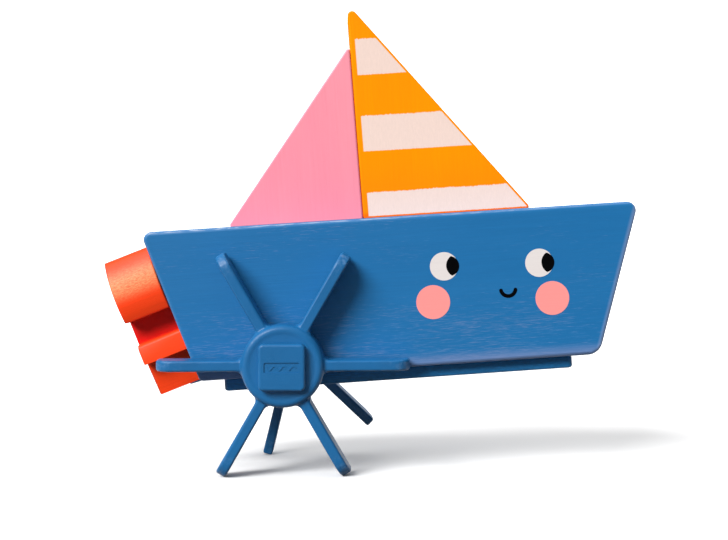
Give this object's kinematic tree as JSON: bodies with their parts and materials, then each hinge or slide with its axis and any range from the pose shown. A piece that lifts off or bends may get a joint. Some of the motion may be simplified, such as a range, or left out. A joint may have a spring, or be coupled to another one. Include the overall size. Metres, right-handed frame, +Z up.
{
  "type": "toy paddle boat",
  "caption": "Toy boat with a trapezoid hull, triangular upright sails, a stern block, and a freely turning bladed paddle wheel on each side for rolling or paddling.",
  "frame": {"origin": "middle of the footprint, level with the lowest paddle tip", "axes": "+X to the bow, +Y to port, +Z up, with the deck level"},
  "size_m": [0.2014, 0.0782, 0.1788],
  "materials": {
    "hull_paint": "satin blue paint over horizontal wood grain, worn on the edges",
    "keel_paint": "satin darker blue paint over wood",
    "wheel_plastic": "satin moulded plastic",
    "orange_paint": "satin orange-red paint over wood",
    "pink_paint": "satin pink paint over wood",
    "yellow_paint": "satin yellow-orange paint with pale pink stripes",
    "steel": "bright plated steel",
    "nylon": "plain nylon"
  },
  "bodies": {
    "hull": {"starboard_hull_side": "hull_paint", "hull_core": "hull_paint", "port_hull_side": "hull_paint", "keel_plate": "keel_paint", "keel_screw_1": "steel", "keel_screw_2": "steel", "keel_screw_3": "steel", "keel_screw_4": "steel", "axle": "steel", "starboard_washer": "nylon", "port_washer": "nylon", "starboard_push_nut": "steel", "port_push_nut": "steel", "front_sail_deck_magnet_1": "steel", "front_sail_deck_magnet_2": "steel", "rear_sail_deck_magnet_1": "steel", "rear_sail_deck_magnet_2": "steel", "transom_magnet_1": "steel", "transom_magnet_2": "steel"},
    "starboard_wheel": {"starboard_paddle_wheel": "wheel_plastic", "starboard_hub_cap": "wheel_plastic"},
    "port_wheel": {"port_paddle_wheel": "wheel_plastic", "port_hub_cap": "wheel_plastic"},
    "front_sail": {"front_sail": "yellow_paint", "front_sail_magnet_1": "steel", "front_sail_magnet_2": "steel"},
    "rear_sail": {"rear_sail": "pink_paint", "rear_sail_magnet_1": "steel", "rear_sail_magnet_2": "steel"},
    "stern_block": {"stern_block": "orange_paint", "stern_block_magnet_1": "steel", "stern_block_magnet_2": "steel"}
  },
  "joints": [
    {"name": "starboard_wheel_spin", "type": "hinge", "parent": "hull", "child": "starboard_wheel", "pos_m": [-0.03487, -0.0302, 0.04477], "axis": [0, 1, 0], "continuous": true},
    {"name": "port_wheel_spin", "type": "hinge", "parent": "hull", "child": "port_wheel", "pos_m": [-0.03487, 0.0302, 0.04477], "axis": [0, 1, 0], "continuous": true},
    {"name": "front_sail_lift", "type": "slide", "parent": "hull", "child": "front_sail", "axis": [-0.014, 0, 0.9999], "range_m": [0, 0.09]},
    {"name": "rear_sail_lift", "type": "slide", "parent": "hull", "child": "rear_sail", "axis": [-0.014, 0, 0.9999], "range_m": [0, 0.09]},
    {"name": "stern_block_pull", "type": "slide", "parent": "hull", "child": "stern_block", "axis": [-0.95, 0, -0.3122], "range_m": [0, 0.03]}
  ]
}
